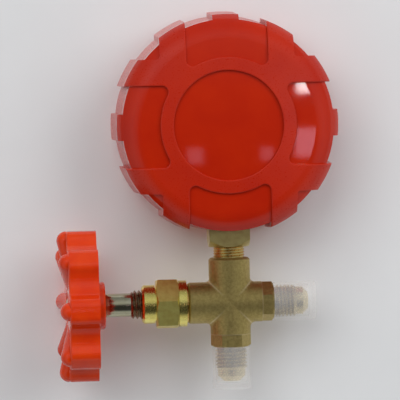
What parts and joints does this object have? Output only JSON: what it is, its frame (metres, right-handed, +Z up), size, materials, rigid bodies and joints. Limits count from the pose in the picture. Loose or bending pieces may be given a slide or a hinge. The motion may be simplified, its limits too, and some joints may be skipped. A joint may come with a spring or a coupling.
{
  "type": "refrigerant manifold gauge",
  "caption": "Brass cross valve with a side handwheel, capped flare ports and a round pressure gauge in a red lugged boot.",
  "frame": {"origin": "centre of the lower flare nipple's end face", "axes": "+Z up the gauge's socket, -Y out of the dial, +X along the stem to the handwheel"},
  "size_m": [0.0987, 0.0522, 0.1308],
  "materials": {
    "forged_brass": "satin",
    "turned_brass": "gloss",
    "bronze": "satin",
    "zinc_steel": "satin",
    "black_steel": "satin",
    "dial_white": "matte",
    "pointer_black": "matte",
    "boot_red": "satin",
    "wheel_red": "gloss",
    "clear_lens": "gloss",
    "clear_cap": "satin",
    "rubber": "matte",
    "ptfe": "matte"
  },
  "bodies": {
    "gauge_and_valve": {"valve_body": "forged_brass", "valve_bonnet": "turned_brass", "bonnet_seal": "ptfe", "stem_o_rings": "rubber", "gauge_socket": "turned_brass", "gauge_case": "black_steel", "case_screws": "zinc_steel", "bourdon_tube": "bronze", "movement_back_plate": "turned_brass", "movement_front_plate": "turned_brass", "movement_pillars": "turned_brass", "movement_screws": "zinc_steel", "hairspring": "bronze", "dial_posts": "turned_brass", "dial": "dial_white", "dial_screws": "zinc_steel", "stop_pin": "zinc_steel", "lens_gasket": "rubber", "lens": "clear_lens", "bezel_ring": "black_steel", "protective_boot": "boot_red"},
    "seat": {"seat_holder": "turned_brass", "seat_disc": "ptfe"},
    "wheel": {"stem": "zinc_steel", "handwheel": "wheel_red", "handwheel_washer": "zinc_steel", "handwheel_screw": "zinc_steel"},
    "pointer_arbor": {"pinion_arbor": "zinc_steel", "pointer": "pointer_black"},
    "sector": {"sector_gear": "turned_brass", "sector_pin": "zinc_steel"},
    "tip": {"tube_tip": "bronze", "tip_pin": "zinc_steel"},
    "tip_link": {"link": "turned_brass"},
    "side_cap": {"side_port_cap": "clear_cap"},
    "lower_cap": {"lower_port_cap": "clear_cap"}
  },
  "joints": [
    {"name": "stem_travel", "type": "slide", "parent": "gauge_and_valve", "child": "seat", "axis": [1, 0, 0], "range_m": [-0.00376, 0.003]},
    {"name": "handwheel_turn", "type": "hinge", "parent": "seat", "child": "wheel", "pos_m": [0, 0, 0.0272], "axis": [1, 0, 0], "range_deg": [-900, 720]},
    {"name": "pointer_turn", "type": "hinge", "parent": "gauge_and_valve", "child": "pointer_arbor", "pos_m": [0, -0.007, 0.0888], "axis": [0, 1, 0], "range_deg": [0, 270], "stiffness_Nm_per_rad": 0.00003, "springref_deg": -114.59, "deforming": ["hairspring"]},
    {"name": "sector_turn", "type": "hinge", "parent": "gauge_and_valve", "child": "sector", "pos_m": [-0.0045, -0.005, 0.07449], "axis": [0, 1, 0], "range_deg": [-30.01, 0]},
    {"name": "tip_travel", "type": "slide", "parent": "gauge_and_valve", "child": "tip", "axis": [0.9612, 0, 0.276], "range_m": [0, 0.00315], "deforming": ["bourdon_tube"]},
    {"name": "link_swing", "type": "hinge", "parent": "tip", "child": "tip_link", "pos_m": [0.0139, -0.006, 0.07009], "axis": [0, 1, 0], "range_deg": [-2.51, 0]},
    {"name": "side_cap_pull", "type": "slide", "parent": "gauge_and_valve", "child": "side_cap", "axis": [-1, 0, 0], "range_m": [0, 0.025]},
    {"name": "lower_cap_pull", "type": "slide", "parent": "gauge_and_valve", "child": "lower_cap", "axis": [0, 0, -1], "range_m": [0, 0.025]}
  ],
  "couplings": [
    {"joint": "stem_travel", "follows": "handwheel_turn", "m_per_rad": 0.00023873},
    {"joint": "sector_turn", "follows": "pointer_turn", "ratio": -0.11111},
    {"joint": "tip_travel", "follows": "pointer_turn", "m_per_rad": 0.00066808},
    {"joint": "link_swing", "follows": "pointer_turn", "ratio": -0.0092593}
  ]
}
